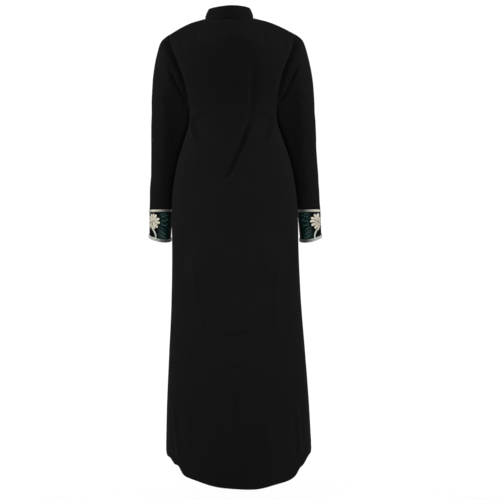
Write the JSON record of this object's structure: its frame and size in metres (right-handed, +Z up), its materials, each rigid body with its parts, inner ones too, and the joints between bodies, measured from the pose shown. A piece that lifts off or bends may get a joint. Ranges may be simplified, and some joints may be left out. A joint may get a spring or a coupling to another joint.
{
  "type": "abaya",
  "caption": "Long black abaya worn and hollow: stand collar, set-in sleeves, lapped fronts, dipped back hem, embroidered cuff bands with piping.",
  "frame": {"origin": "midway between the two neck points, where collar, shoulder seams and the wearer's shoulders meet", "axes": "+Z up, the wearer faces -Y, +X is the wearer's left"},
  "size_m": [0.529, 0.3367, 1.4108],
  "materials": {
    "black_crepe": "matte black crepe with a faint weave and a soft nap",
    "embroidered_band": "black band worked in cream flowers and dark teal leaves, raised satin stitch",
    "cream_piping": "cream corded piping",
    "sage_piping": "double row of pale green and cream piping"
  },
  "bodies": {
    "root": {"back": "black_crepe", "front_left": "black_crepe", "front_right": "black_crepe", "collar": "black_crepe", "sleeve_left": "black_crepe", "sleeve_right": "black_crepe", "cuff_left": "embroidered_band", "cuff_right": "embroidered_band", "trim_top_left": "cream_piping", "trim_top_right": "cream_piping", "trim_hem_left": "sage_piping", "trim_hem_right": "sage_piping"}
  },
  "joints": []
}
